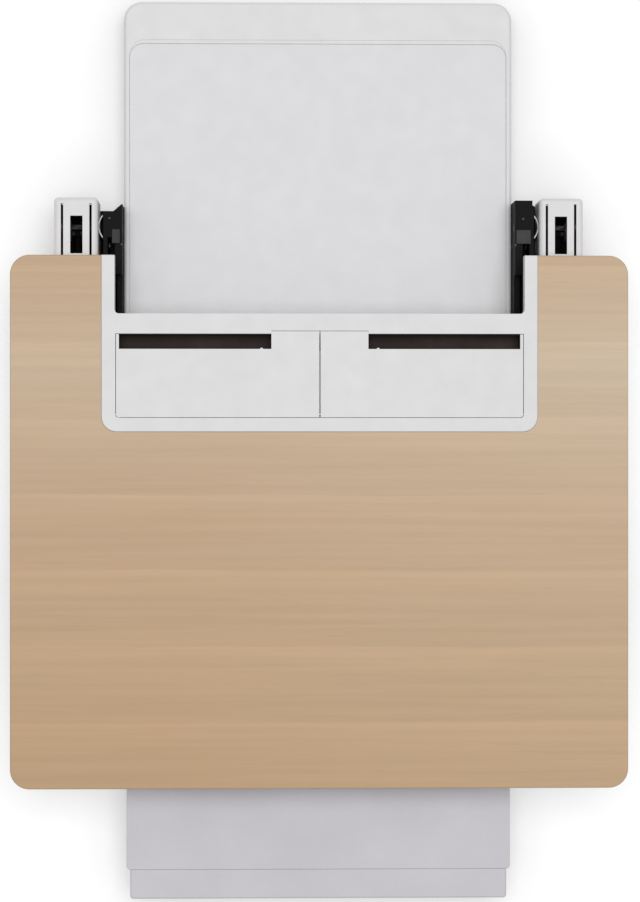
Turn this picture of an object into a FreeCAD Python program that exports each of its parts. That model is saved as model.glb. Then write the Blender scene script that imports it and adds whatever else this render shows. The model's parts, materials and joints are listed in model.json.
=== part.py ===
import FreeCAD, Part
import math
import os
import re

import Sketcher

# Standing desk converter: a low base that stands on a desk, two lifting arms with parallel
# links, a notched work platform with a device-slot organiser, and a pull-out keyboard tray.
# Frame: +Z up, Z = 0 on the desk, the user sits at -Y, origin under the centre of the box.

# Every driving dimension in mm (lift_range in degrees). X values are for the right side.
DIMENSIONS = {
    "over": 5.0,                     # how far a cutting tool runs past the face it opens
    # base
    "base_half_width": 225.2, "base_front": -181.0, "base_rear": 518.7, "base_top": 38.0,
    "base_corner": 21.0, "base_edge": 4.0, "cover_bottom": 8.0, "cover_wall": 3.0,
    "inset_half_width": 218.4, "inset_front": -160.0, "inset_rear": 469.8, "inset_corner": 15.7,
    "inset_depth": 2.0, "inset_gap": 0.8, "inset_step": 5.0, "inset_step_depth": 0.7,
    "inset_below": 0.3,
    "plate_bottom": 3.0, "plate_thick": 5.0, "plate_inset": 1.0,
    "foot_radius": 13.0, "foot_x": 190.0, "foot_inset": 32.0,
    "rail_thick": 3.0, "rail_reach": 18.0, "rail_inset": 3.8, "rail_front": -150.0,
    "rail_rear": 310.0, "rail_top": 32.0,
    "bolt_first": 140.0, "bolt_pitch": 25.0, "bolt_z": 22.0, "bolt_radius": 2.5,
    "bolt_hole": 2.6, "bolt_head_radius": 4.5, "bolt_head": 2.0, "bolt_tip": 214.0,
    # lifting geometry
    "hub_y": 255.0, "hub_z": 62.0, "arm_length": 400.0, "lift_range": 65.0,
    "link_back": -20.0, "link_drop": -24.0,
    "arm_inner": 252.6, "arm_outer": 302.7, "arm_rear": 287.0, "arm_front": -172.0,
    "arm_top": 90.0, "arm_bottom": 36.0, "arm_wall": 3.0, "arm_edge": 5.0,
    "wide_slot_in": 7.4, "wide_slot_out": 6.5, "wide_slot_front": 223.0, "wide_slot_rear": 266.0,
    "thin_slot_in": 15.3, "thin_slot_out": 14.6, "thin_slot_width": 2.6,
    "thin_slot_front": 200.0, "thin_slot_rear": 280.0,
    "channel_gap": 0.4, "channel_wall": 2.5, "channel_front_inset": 6.0,
    "channel_rear_inset": 4.0, "channel_lift": 0.5, "channel_below": 4.0,
    "axle_radius": 6.0, "axle_room": 0.5, "bush_radius": 9.0, "bush_length": 4.8,
    "bush_inset": 3.2, "running_gap": 0.05, "axle_end": 3.6,
    "crank_throw": 12.0, "crank_pin": 3.0, "crank_web": 12.0, "crank_web_thick": 3.0,
    "crank_room": 6.5,
    "gas_drop": 11.0, "gas_radius": 9.0, "gas_front": 62.0, "gas_rear": 222.0,
    "gas_tail_radius": 5.0, "gas_tail_front": 41.0, "gas_bore_front": 100.0,
    "gas_stem": 4.0, "gas_stem_front": 110.0, "gas_anchor": 3.0, "gas_anchor_y": 50.0,
    "gas_eye": 7.0, "gas_eye_half": 3.0, "gas_eye_hole": 4.6,
    "link_inner": 235.0, "link_thick": 6.0, "link_half": 9.0, "pin_radius": 4.0,
    "pin_head_radius": 6.5, "pin_head_inner": 231.6, "pin_head_outer": 234.4,
    "disc_radius": 24.0, "disc_thick": 5.7, "disc_room": 0.5,
    # pivot brackets
    "bracket_gap": 0.3, "bracket_front": 130.0, "bracket_bottom": 10.0, "bracket_low": 66.0,
    "bracket_top": 80.0, "bracket_plate": 232.0, "cheek_front": 200.0, "cheek_inner": 234.0,
    "cheek_middle": 242.0, "cheek_outer": 247.0, "cheek_rear": 27.0, "cheek_rear_right": 30.2,
    "web_inner": 230.0, "web_outer": 244.0, "web_front": 242.0, "web_bottom": 50.0,
    "shelf_outer": 261.6, "shelf_front": 131.0, "shelf_rear_left": 277.5,
    "shelf_rear_right": 284.0, "shelf_top": 17.0,
    "boss_radius": 13.25, "dome_radius": 18.4, "dome_centre": 233.0, "dome_gap": 0.4,
    "guard_thick": 1.3, "guard_half": 14.0, "guard_start": 0.8,
    "corner_x": 235.8, "corner_back": 16.9, "corner_angle": 40.7,
    "notch_x": 245.5, "notch_back": 24.5,
    "stop_front": 19.8, "stop_rear": 3.8, "stop_thick": 3.0, "stop_edge": 1.0,
    "stop_left_inner": 228.0, "stop_left_outer": 237.0,
    "stop_right_inner": 226.8, "stop_right_outer": 243.5,
    # platform
    "board_half_width": 350.0, "board_front": -384.7, "board_rear": 219.0,
    "board_bottom": 106.0, "board_top": 124.0, "board_corner": 22.0, "board_edge": 1.2,
    "board_gap": 0.2,
    "bezel_half_width": 246.9, "bezel_front": 19.1, "bezel_corner": 17.0,
    "bezel_top": 125.6, "bezel_bottom": 106.0, "bezel_inner": 231.1, "rear_gap_half": 232.2,
    "rear_gap_corner": 5.0, "crossbar_rear": 152.8, "crossbar_front": 130.1,
    "crossbar_middle": 133.5, "slot_inner": 54.9, "slot_outer": 227.1, "slot_front": 112.8,
    "liner_wall": 1.5, "liner_bottom": 100.0, "liner_top": 121.3, "liner_floor": 2.0,
    "bin_front": 34.9, "bin_floor": 66.0, "bin_top": 118.5, "bin_gap": 0.3, "bin_wall": 2.5,
    "bin_corner": 5.2, "bin_rear_gap": 1.8, "bin_divider": 1.2,
    "lid_thick": 3.5, "lid_below": 0.4, "lid_corner": 3.2, "lid_gap": 0.85, "lid_side_gap": 0.7,
    "lid_front_gap": 0.6, "lid_tab_depth": 5.0, "pip_offset": 9.6, "pip_width": 3.0,
    "pip_reach": 1.2, "lid_hinge_y": 38.9, "lid_hinge_drop": 2.0, "lid_rod": 0.9,
    "lid_rod_half": 236.0,
    "mount_inner": 242.5, "mount_thick": 5.0, "mount_clear": 8.3, "mount_front": -192.0,
    "mount_rear": -120.0, "mount_outer_front": -204.0, "mount_inner_bottom": 26.0,
    "mount_outer_bottom": 48.0, "flange_front": -205.0, "flange_rear": -75.0,
    "flange_thick": 3.0, "screw_y": -95.0, "screw_inner_x": 262.0, "screw_outer_x": 300.0,
    "screw_head": 5.0, "screw_head_thick": 2.2,
    "axle_head": 10.0, "axle_head_thick": 3.0, "axle_tail": 1.7,
    "beam_half": 242.0, "beam_front": -100.0, "beam_rear": -75.0, "beam_depth": 14.0,
    "beam_wall": 2.5,
    "lever_y": -190.0, "lever_z": 88.0, "lever_inner": 322.0, "lever_outer": 344.0,
    "lever_front": -300.0, "lever_half": 3.0, "lever_tip": 4.0, "lever_hub": 7.0,
    "lever_shaft": 3.5, "lever_arm_half": 4.0, "lever_arm_drop": 6.0,
    "shoe_gap": 0.6, "shoe_thick": 5.0, "shoe_length": 22.0, "shoe_half": 9.0,
    # keyboard tray
    "tray_half_width": 221.1, "tray_front": -485.0, "tray_rear": -235.0, "tray_top": 62.0,
    "tray_thick": 10.0, "tray_corner": 4.5, "tray_wall": 2.5, "tray_edge": 0.8,
    "lip_half_width": 217.0, "lip_front": -518.7, "lip_drop": 1.0, "lip_thick": 12.0,
    "lip_corner": 3.5, "lip_edge": 2.0, "lip_gap": 0.2, "tongue_inset": 8.0,
    "tongue_front": -491.0, "tongue_rear": -455.0,
    "slide_inner": 200.0, "slide_outer": 212.0, "slide_front": -372.0, "slide_rear": -142.0,
    "slide_bottom": 82.0, "slide_wall": 2.5,
    "middle_inner": 200.5, "middle_outer": 209.1, "middle_front": -375.0,
    "middle_rear": -205.0, "middle_gap": 0.4, "middle_wall": 1.5,
    "runner_inner": 196.0, "runner_outer": 207.2, "runner_front": -379.0, "runner_gap": 0.4,
    "runner_drop_inner": 195.0, "runner_drop_outer": 198.5,
}

SIDES = {"left": -1, "right": 1}
SUB_PARTS = []


def make_sheet(doc):
    """One row per driving dimension: its name, and its value under that alias."""
    sheet = doc.addObject("Spreadsheet::Sheet", "Dims")
    for row, (name, value) in enumerate(DIMENSIONS.items(), start=1):
        sheet.set("A%d" % row, name)
        sheet.set("B%d" % row, str(value))
        sheet.setAlias("B%d" % row, name)
    doc.recompute()
    return sheet


doc = FreeCAD.newDocument("standing_desk_converter")
sheet = make_sheet(doc)


# ---- helpers: binding, placing and naming ----

def dim(name):
    return float(getattr(sheet, name))


def qualified(word):
    return "Dims." + word if word in DIMENSIONS else word


def bind(item, path, text):
    """Bind one property of a document object to the sheet."""
    item.setExpression(path, re.sub(r"[a-z][a-z_]*", lambda m: qualified(m.group()), text))


def sub_part(item, label):
    item.Label = label
    SUB_PARTS.append(item)
    return item


def on_side(x, side):
    """The X of the right side's point x, on the given side (-1 left, 1 right)."""
    return "-(%s)" % x if side < 0 else x


def place(item, x="0", y="0", z="0"):
    for axis, text in zip("xyz", (x, y, z)):
        bind(item, "Placement.Base." + axis, text)


# ---- helpers: PartDesign plates ----

def origin_plane(body, role):
    return next(f for f in body.Origin.OriginFeatures if f.Role == role)


def rectangle(sketch, wide, deep):
    """A rectangle centred on the sketch's origin, its width and depth bound to the sheet."""
    start = 9.0
    corners = [FreeCAD.Vector(x * start, y * start, 0)
               for x, y in ((-1, -1), (1, -1), (1, 1), (-1, 1))]
    for first, last in zip(corners, corners[1:] + corners[:1]):
        sketch.addGeometry(Part.LineSegment(first, last), False)
    for edge in range(4):
        sketch.addConstraint(Sketcher.Constraint("Coincident", edge, 2, (edge + 1) % 4, 1))
    for edge, kind in enumerate(("Horizontal", "Vertical", "Horizontal", "Vertical")):
        sketch.addConstraint(Sketcher.Constraint(kind, edge))
    sketch.addConstraint(Sketcher.Constraint("Symmetric", 0, 1, 1, 2, -1, 1))
    width = sketch.addConstraint(Sketcher.Constraint("DistanceX", 0, 1, 0, 2, 2 * start))
    depth = sketch.addConstraint(Sketcher.Constraint("DistanceY", 1, 1, 1, 2, 2 * start))
    bind(sketch, "Constraints[%d]" % width, wide)
    bind(sketch, "Constraints[%d]" % depth, deep)


def edge_numbers(shape, wanted):
    """Numbers of the straight edges for which wanted(first end, last end) is true."""
    numbers = []
    for number, edge in enumerate(shape.Edges, start=1):
        if len(edge.Vertexes) == 2 and wanted(edge.Vertexes[0].Point, edge.Vertexes[1].Point):
            numbers.append(number)
    return numbers


def is_upright(first, last):
    return abs(first.x - last.x) < 1e-6 and abs(first.y - last.y) < 1e-6


def at_height(first, last, height):
    return abs(first.z - height) < 1e-3 and abs(last.z - height) < 1e-3


def slab(label, half_width, front, rear, bottom, top, corner, front_only=False):
    """A flat PartDesign plate with rounded corners, sized and placed from the sheet."""
    body = doc.addObject("PartDesign::Body", label)
    sketch = body.newObject("Sketcher::SketchObject", label + "_outline")
    sketch.AttachmentSupport = [(origin_plane(body, "XY_Plane"), "")]
    sketch.MapMode = "FlatFace"
    rectangle(sketch, "2 * (%s)" % half_width, "(%s) - (%s)" % (rear, front))
    base = body.newObject("PartDesign::Pad", label + "_pad")
    base.Profile = sketch
    bind(base, "Length", "(%s) - (%s)" % (top, bottom))
    place(body, "0", "((%s) + (%s)) / 2" % (front, rear), bottom)
    doc.recompute()
    corners = edge_numbers(
        base.Shape, lambda a, b: is_upright(a, b) and (a.y < 0 or not front_only))
    rounding = body.newObject("PartDesign::Fillet", label + "_corners")
    rounding.Base = (base, ["Edge%d" % n for n in corners])
    bind(rounding, "Radius", corner)
    doc.recompute()
    return body


# ---- helpers: Part primitives and booleans ----

def block(name, side, inner, outer, front, rear, bottom, top):
    """A box on one side of the centre plane (side -1 or 1), or across it (side 0)."""
    box = doc.addObject("Part::Box", name)
    bind(box, "Length", "(%s) - (%s)" % (outer, inner))
    bind(box, "Width", "(%s) - (%s)" % (rear, front))
    bind(box, "Height", "(%s) - (%s)" % (top, bottom))
    place(box, on_side(outer if side < 0 else inner, side), front, bottom)
    return box


def rod(name, side, inner, outer, y, z, radius):
    """A cylinder along X on one side of the centre plane."""
    cylinder = doc.addObject("Part::Cylinder", name)
    cylinder.Placement = FreeCAD.Placement(
        FreeCAD.Vector(), FreeCAD.Rotation(FreeCAD.Vector(0, 1, 0), 90))
    bind(cylinder, "Radius", radius)
    bind(cylinder, "Height", "(%s) - (%s)" % (outer, inner))
    place(cylinder, on_side(outer if side < 0 else inner, side), y, z)
    return cylinder


def bar(name, x, front, rear, z, radius):
    """A cylinder along Y."""
    cylinder = doc.addObject("Part::Cylinder", name)
    cylinder.Placement = FreeCAD.Placement(
        FreeCAD.Vector(), FreeCAD.Rotation(FreeCAD.Vector(1, 0, 0), -90))
    bind(cylinder, "Radius", radius)
    bind(cylinder, "Height", "(%s) - (%s)" % (rear, front))
    place(cylinder, x, front, z)
    return cylinder


def post(name, x, y, bottom, top, radius):
    """A cylinder along Z."""
    cylinder = doc.addObject("Part::Cylinder", name)
    bind(cylinder, "Radius", radius)
    bind(cylinder, "Height", "(%s) - (%s)" % (top, bottom))
    place(cylinder, x, y, bottom)
    return cylinder


def fused(name, items):
    fusion = doc.addObject("Part::MultiFuse", name)
    fusion.Shapes = items
    return fusion


def cut(name, base, tools):
    result = doc.addObject("Part::Cut", name)
    result.Base = base
    result.Tool = tools[0] if len(tools) == 1 else fused(name + "_tools", tools)
    return result


def common(name, base, tool):
    result = doc.addObject("Part::Common", name)
    result.Base = base
    result.Tool = tool
    return result


def grouped(name, items):
    """Separate solids that share one node, such as a set of screws."""
    group = doc.addObject("Part::Compound", name)
    group.Links = items
    return group


def rounded(name, base, radius, wanted):
    """The straight edges of base that wanted() picks, rounded to one radius."""
    doc.recompute()
    result = doc.addObject("Part::Fillet", name)
    result.Base = base
    result.Edges = [(n, radius, radius) for n in edge_numbers(base.Shape, wanted)]
    return result


def rounded_top(name, base, top, radius):
    """The edges round the top face, rounded."""
    return rounded(name, base, radius, lambda a, b: at_height(a, b, top))


# ---- base ----

def make_feet():
    feet = []
    rows = ("base_front + foot_inset", "(base_front + base_rear) / 2", "base_rear - foot_inset")
    for side in SIDES.values():
        for y in rows:
            feet.append(post("foot_%d" % len(feet), on_side("foot_x", side), y, "0",
                             "plate_bottom", "foot_radius"))
    sub_part(grouped("feet", feet), "rubber_feet")


def make_base_plate():
    plate = slab("plate", "base_half_width - plate_inset", "base_front + plate_inset",
                 "base_rear - plate_inset", "plate_bottom", "plate_bottom + plate_thick",
                 "base_corner - plate_inset")
    sub_part(plate, "base_plate")


def bolt_rows():
    """Y of each screw that holds a pivot bracket on the base."""
    return ["bolt_first + %d * bolt_pitch" % n for n in range(3)]


def bolt_holes(name, side, inner, outer):
    return [rod("%s_%d" % (name, n), side, inner, outer, y, "bolt_z", "bolt_hole")
            for n, y in enumerate(bolt_rows())]


def make_base_cover():
    outer = slab("cover_outer", "base_half_width", "base_front", "base_rear",
                 "cover_bottom", "base_top", "base_corner")
    soft = rounded_top("cover_soft", outer, dim("base_top"), dim("base_edge"))
    hollow = slab("cover_hollow", "base_half_width - cover_wall", "base_front + cover_wall",
                  "base_rear - cover_wall", "cover_bottom - over",
                  "base_top - inset_depth - cover_wall", "base_corner - cover_wall")
    half_recess = "inset_half_width + inset_gap"
    recess = slab("cover_recess", half_recess, "inset_front - inset_gap",
                  "inset_rear + inset_gap", "base_top - inset_depth", "base_top + over",
                  "inset_corner + inset_gap")
    step = slab("cover_step", half_recess, "inset_front", "inset_rear + inset_step",
                "base_top - inset_step_depth", "base_top + over", "inset_corner + cover_wall")
    tools = [hollow, recess, step]
    for label, side in SIDES.items():
        tools += bolt_holes("cover_hole_" + label, side, "base_half_width - over",
                            "base_half_width + over")
    sub_part(cut("cover", soft, tools), "base_cover")


def make_inset_panel():
    panel = slab("inset", "inset_half_width", "inset_front", "inset_rear",
                 "base_top - inset_depth", "base_top - inset_below", "inset_corner")
    sub_part(panel, "base_inset_panel")


def make_side_rail(label, side):
    """A steel angle inside the cover that the pivot bracket is screwed to."""
    outer = "base_half_width - rail_inset"
    floor = "plate_bottom + plate_thick"
    foot = block("rail_foot_" + label, side, outer + " - rail_reach", outer, "rail_front",
                 "rail_rear", floor, floor + " + rail_thick")
    wall = block("rail_wall_" + label, side, outer + " - rail_thick", outer, "rail_front",
                 "rail_rear", floor, "rail_top")
    holes = bolt_holes("rail_hole_" + label, side, outer + " - over", outer + " + over")
    angle = fused("rail_" + label, [foot, wall])
    sub_part(cut("rail_drilled_" + label, angle, holes), "base_side_rail_" + label)


def make_pivot_bracket(label, side):
    """The black clevis beside the base: it carries the hub and the link's rear pin."""
    near = "base_half_width + bracket_gap"
    rear = "hub_y + " + ("cheek_rear" if side < 0 else "cheek_rear_right")
    outer_rear = "hub_y + corner_back" if side < 0 else rear
    parts = [
        block("bracket_plate_" + label, side, near, "bracket_plate", "bracket_front", rear,
              "bracket_bottom", "bracket_low"),
        block("bracket_in_" + label, side, near, "cheek_inner", "cheek_front", rear,
              "bracket_bottom", "bracket_top"),
        block("bracket_out_" + label, side, "cheek_middle", "cheek_outer", "cheek_front",
              outer_rear, "bracket_bottom", "bracket_top"),
        block("bracket_web_" + label, side, "web_inner", "web_outer", "web_front", rear,
              "web_bottom", "bracket_top"),
        block("bracket_shelf_" + label, side, "web_inner", "shelf_outer", "shelf_front",
              "shelf_rear_" + label, "bracket_bottom", "shelf_top"),
        rod("bracket_boss_" + label, side, "web_inner", "cheek_outer", "hub_y", "hub_z",
            "boss_radius"),
        hub_dome("bracket_dome_" + label, side),
    ]
    tools = bolt_holes("bracket_hole_" + label, side, near + " - over", "bracket_plate + over")
    tools.append(rod("bracket_bore_" + label, side, near + " - over", "arm_inner + over",
                     "hub_y", "hub_z", "axle_radius"))
    tools.append(rod("bracket_link_bore_" + label, side, near + " - over",
                     "cheek_outer + over", "hub_y + link_back", "hub_z + link_drop",
                     "pin_radius"))
    tools.append(slanted_corner("bracket_corner_" + label) if side < 0
                 else notched_corner("bracket_notch_" + label))
    sub_part(cut("bracket_" + label, fused("bracket_solid_" + label, parts), tools),
             "pivot_bracket_" + label)


def hub_dome(name, side):
    """The rounded end of the bracket's boss, which the arm's guard rim curves round."""
    ball = doc.addObject("Part::Sphere", name + "_ball")
    bind(ball, "Radius", "dome_radius")
    place(ball, on_side("dome_centre", side), "hub_y", "hub_z")
    keep = block(name + "_keep", side, "cheek_outer - 1", "arm_inner - dome_gap",
                 "hub_y - dome_radius", "hub_y + dome_radius", "hub_z - dome_radius",
                 "hub_z + dome_radius")
    return common(name, ball, keep)


def slanted_corner(name):
    """Trims the left bracket above its foot flange: full depth at the base, less at the arm."""
    start = "hub_y + corner_back"
    wedge = block(name, 0, "0", "cheek_outer - base_half_width + over * 6", "0", "over * 8",
                  "0", "bracket_top - shelf_top + over")
    wedge.Placement.Rotation = FreeCAD.Rotation(FreeCAD.Vector(0, 0, 1), dim("corner_angle"))
    place(wedge, "-(corner_x)", start, "shelf_top")
    rest = block(name + "_rest", -1, "corner_x", "arm_outer", start, "arm_rear + over * 4",
                 "shelf_top", "bracket_top + over")
    return fused(name + "_both", [wedge, rest])


def notched_corner(name):
    """Trims the right bracket's rear outer corner square, above its foot flange."""
    return block(name, 1, "notch_x", "arm_inner + over", "hub_y + notch_back",
                 "arm_rear + over", "shelf_top", "bracket_top + over")


def make_stop_pad(label, side):
    """The grey pad on top of the bracket, under the platform's crossbar."""
    pad = block("stop_" + label, side, "stop_%s_inner" % label, "stop_%s_outer" % label,
                "hub_y - stop_front", "hub_y - stop_rear", "bracket_top",
                "bracket_top + stop_thick")
    top = dim("bracket_top") + dim("stop_thick")
    sub_part(rounded_top("stop_soft_" + label, pad, top, dim("stop_edge")),
             "bracket_stop_pad_" + label)


def make_bracket_screws():
    screws = []
    for label, side in SIDES.items():
        for number, y in enumerate(bolt_rows()):
            name = "bracket_screw_%s_%d" % (label, number)
            shank = rod(name + "_shank", side, "bolt_tip", "bracket_plate", y, "bolt_z",
                        "bolt_radius")
            head = rod(name + "_head", side, "bracket_plate", "bracket_plate + bolt_head", y,
                       "bolt_z", "bolt_head_radius")
            screws.append(fused(name, [shank, head]))
    sub_part(grouped("bracket_screw_set", screws), "bracket_screws")


def crank_spot():
    """Offset of the gas spring's crank pin from the hub: square to the arm at mid lift."""
    middle = math.radians(dim("lift_range") / 2)
    throw = dim("crank_throw")
    return -throw * math.sin(middle), -throw * math.cos(middle)


def arm_middle(offset=""):
    """X of the arm's middle plane, with an offset such as "+ crank_room"."""
    return "(arm_inner + arm_outer) / 2 " + offset


def make_hub_axle(label, side):
    """The fixed axle with the crank that the gas spring pushes against."""
    crank_y, crank_z = crank_spot()
    pin_y, pin_z = "hub_y + (%.4f)" % crank_y, "hub_z + (%.4f)" % crank_z
    web_y, web_z = "hub_y + (%.4f)" % (crank_y / 2), "hub_z + (%.4f)" % (crank_z / 2)
    pin_ends = (arm_middle("- crank_room - 1.5"), arm_middle("+ crank_room + 1.5"))
    parts = [
        rod("axle_in_" + label, side, "base_half_width + bracket_gap + 0.2",
            arm_middle("- crank_room"), "hub_y", "hub_z", "axle_radius"),
        rod("axle_out_" + label, side, arm_middle("+ crank_room"), "arm_outer - axle_end",
            "hub_y", "hub_z", "axle_radius"),
        rod("axle_waist_" + label, side, *pin_ends, "hub_y", "hub_z", "axle_radius / 2"),
        rod("axle_pin_" + label, side, *pin_ends, pin_y, pin_z, "crank_pin"),
        rod("axle_web_in_" + label, side, arm_middle("- crank_room - crank_web_thick"),
            arm_middle("- crank_room"), web_y, web_z, "crank_web"),
        rod("axle_web_out_" + label, side, arm_middle("+ crank_room"),
            arm_middle("+ crank_room + crank_web_thick"), web_y, web_z, "crank_web"),
    ]
    sub_part(fused("axle_" + label, parts), "hub_axle_" + label)


def make_link_rear_pins():
    pins = []
    for label, side in SIDES.items():
        pins.append(rod("rear_pin_" + label, side, "base_half_width + bracket_gap + 0.5",
                        "cheek_outer + 0.6", "hub_y + link_back", "hub_z + link_drop",
                        "pin_radius"))
    sub_part(grouped("rear_pins", pins), "link_rear_pins")


# ---- arms and links ----

def front_y():
    return "hub_y - arm_length"


def gas_z():
    return "hub_z - gas_drop"


def make_arm_casing(label, side):
    """The white casing: closed on top, open below, slotted near its rear end."""
    outer = block("casing_outer_" + label, side, "arm_inner", "arm_outer", "arm_front",
                  "arm_rear", "arm_bottom", "arm_top")
    top = dim("arm_top")
    soft = rounded("casing_soft_" + label, outer, dim("arm_edge"),
                   lambda a, b: is_upright(a, b) or at_height(a, b, top))
    solid = fused("casing_solid_" + label, [soft, guard_rim("guard_" + label, side)])
    depth = ("arm_top - 2 * arm_wall", "arm_top + over")
    thin_span = ("thin_slot_front", "thin_slot_rear", *depth)
    tools = [
        block("casing_hollow_" + label, side, "arm_inner + arm_wall", "arm_outer - arm_wall",
              "arm_front + arm_wall", "arm_rear - arm_wall", "arm_bottom - over",
              "arm_top - arm_wall"),
        rod("casing_bore_" + label, side, "cheek_middle", "arm_inner + 2 * over", "hub_y",
            "hub_z", "axle_radius + axle_room"),
        rod("casing_front_bore_" + label, side, "arm_inner - over", "arm_outer + over",
            front_y(), "hub_z", "axle_radius + axle_room"),
        block("casing_wide_slot_" + label, side, arm_middle("- wide_slot_in"),
              arm_middle("+ wide_slot_out"), "wide_slot_front", "wide_slot_rear", *depth),
        block("casing_slot_in_" + label, side,
              arm_middle("- thin_slot_in - thin_slot_width"), arm_middle("- thin_slot_in"),
              *thin_span),
        block("casing_slot_out_" + label, side, arm_middle("+ thin_slot_out"),
              arm_middle("+ thin_slot_out + thin_slot_width"), *thin_span),
    ]
    sub_part(cut("casing_" + label, solid, tools), "arm_casing_" + label)


def guard_rim(name, side):
    """A thin upright rim on the casing, curved in plan round the bracket's dome."""
    x = on_side("dome_centre", side)
    inside = "dome_radius + dome_gap"
    outer = post(name + "_outer", x, "hub_y", "hub_z - guard_half", "hub_z + guard_half",
                 inside + " + guard_thick")
    bore = post(name + "_bore", x, "hub_y", "hub_z - guard_half - over",
                "hub_z + guard_half + over", inside)
    ring = cut(name + "_ring", outer, [bore])
    keep = block(name + "_keep", side, "cheek_outer + guard_start", "arm_inner + 1.2",
                 "hub_y - dome_radius - over", "hub_y + dome_radius + over",
                 "hub_z - guard_half - over", "hub_z + guard_half + over")
    return common(name, ring, keep)


def make_arm_channel(label, side):
    """The steel U channel inside the casing, open on top."""
    inner = "arm_inner + arm_wall + channel_gap"
    outer = "arm_outer - arm_wall - channel_gap"
    bottom = "arm_bottom + channel_lift"
    front, rear = "arm_front + channel_front_inset", "arm_rear - channel_rear_inset"
    solid = block("channel_solid_" + label, side, inner, outer, front, rear, bottom,
                  "arm_top - channel_below")
    tools = [
        block("channel_hollow_" + label, side, inner + " + channel_wall",
              outer + " - channel_wall", front + " - over", rear + " + over",
              bottom + " + channel_wall", "arm_top"),
        rod("channel_bore_" + label, side, "arm_inner", "arm_outer", "hub_y", "hub_z",
            "bush_radius"),
        rod("channel_front_bore_" + label, side, "arm_inner", "arm_outer", front_y(),
            "hub_z", "bush_radius"),
        rod("channel_spring_bore_" + label, side, "arm_inner", "arm_outer", "gas_anchor_y",
            gas_z(), "gas_anchor + 1"),
    ]
    sub_part(cut("channel_" + label, solid, tools), "arm_channel_" + label)


def make_arm_bushes(label, side):
    """Plain bushes in the channel's walls, two at the hub and two at the front."""
    bushes = []
    walls = (("arm_inner + bush_inset", "arm_inner + bush_inset + bush_length"),
             ("arm_outer - bush_inset - bush_length", "arm_outer - bush_inset"))
    for end, y in (("hub", "hub_y"), ("front", front_y())):
        for number, (inner, outer) in enumerate(walls):
            name = "bush_%s_%s_%d" % (label, end, number)
            ring = rod(name + "_ring", side, inner, outer, y, "hub_z", "bush_radius")
            bore = rod(name + "_bore", side, "arm_inner", "arm_outer", y, "hub_z",
                       "axle_radius + running_gap")
            bushes.append(cut(name, ring, [bore]))
    sub_part(grouped("bushes_" + label, bushes), "arm_bushes_" + label)


def make_gas_cylinder(label, side):
    """The spring's cylinder, with the pin that anchors its tail in the arm."""
    x = on_side(arm_middle(), side)
    body = bar("gas_body_" + label, x, "gas_front", "gas_rear", gas_z(), "gas_radius")
    tail = bar("gas_tail_" + label, x, "gas_tail_front", "gas_front + 1", gas_z(),
               "gas_tail_radius")
    bores = [
        bar("gas_bore_" + label, x, "gas_bore_front", "gas_rear + over", gas_z(),
            "gas_stem + running_gap"),
        rod("gas_anchor_bore_" + label, side, "arm_inner", "arm_outer", "gas_anchor_y",
            gas_z(), "gas_anchor + running_gap"),
    ]
    cylinder = cut("gas_cylinder_solid_" + label,
                   fused("gas_cylinder_" + label, [body, tail]), bores)
    sub_part(cylinder, "gas_spring_cylinder_" + label)
    anchor = rod("gas_anchor_" + label, side, "arm_inner + axle_end", "arm_outer - axle_end",
                 "gas_anchor_y", gas_z(), "gas_anchor")
    sub_part(anchor, "gas_spring_pin_" + label)


def make_gas_rod(label, side):
    """The spring's rod: it slides in the cylinder and pushes on the hub's crank pin."""
    x = on_side(arm_middle(), side)
    eye_y = "hub_y - %.4f" % -crank_spot()[0]
    stem = bar("gas_stem_" + label, x, "gas_stem_front", eye_y, gas_z(), "gas_stem")
    eye = rod("gas_eye_" + label, side, arm_middle("- gas_eye_half"),
              arm_middle("+ gas_eye_half"), eye_y, gas_z(), "gas_eye")
    hole = rod("gas_eye_hole_" + label, side, arm_middle("- gas_eye_half - over"),
               arm_middle("+ gas_eye_half + over"), eye_y, gas_z(), "gas_eye_hole")
    sub_part(cut("gas_rod_" + label, fused("gas_rod_solid_" + label, [stem, eye]), [hole]),
             "gas_spring_rod_" + label)


def make_link(label, side):
    """The flat parallel link that keeps the platform level."""
    rear, front = "hub_y + link_back", "hub_y + link_back - arm_length"
    z = "hub_z + link_drop"
    outer = "link_inner + link_thick"
    parts = [block("link_flat_" + label, side, "link_inner", outer, front, rear,
                   z + " - link_half", z + " + link_half")]
    holes = []
    for end, y in (("rear", rear), ("front", front)):
        parts.append(rod("link_%s_%s" % (end, label), side, "link_inner", outer, y, z,
                         "link_half"))
        holes.append(rod("link_hole_%s_%s" % (end, label), side, "link_inner - over",
                         outer + " + over", y, z, "pin_radius + running_gap"))
    sub_part(cut("link_" + label, fused("link_solid_" + label, parts), holes),
             "parallel_link_" + label)


def make_brake_disc(label, side):
    """The disc on the arm's front end that the release lever's shoe grips."""
    disc = rod("disc_" + label, side, "arm_outer", "arm_outer + disc_thick", front_y(),
               "hub_z", "disc_radius")
    bore = rod("disc_bore_" + label, side, "arm_outer - over", "arm_outer + 2 * over",
               front_y(), "hub_z", "axle_radius + running_gap")
    sub_part(cut("disc_drilled_" + label, disc, [bore]), "brake_disc_" + label)


# ---- platform ----

def make_board():
    board = slab("board_solid", "board_half_width", "board_front", "board_rear",
                 "board_bottom", "board_top", "board_corner")
    soft = rounded_top("board_soft", board, dim("board_top"), dim("board_edge"))
    notch = slab("board_notch", "bezel_half_width + board_gap", "bezel_front - board_gap",
                 "board_rear + 8 * over", "board_bottom - over", "board_top + over",
                 "bezel_corner + board_gap", front_only=True)
    sub_part(cut("board", soft, [notch]), "platform_board")


def lid_top():
    return "bezel_top - lid_below"


def hinge_z():
    return lid_top() + " - lid_hinge_drop"


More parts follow.
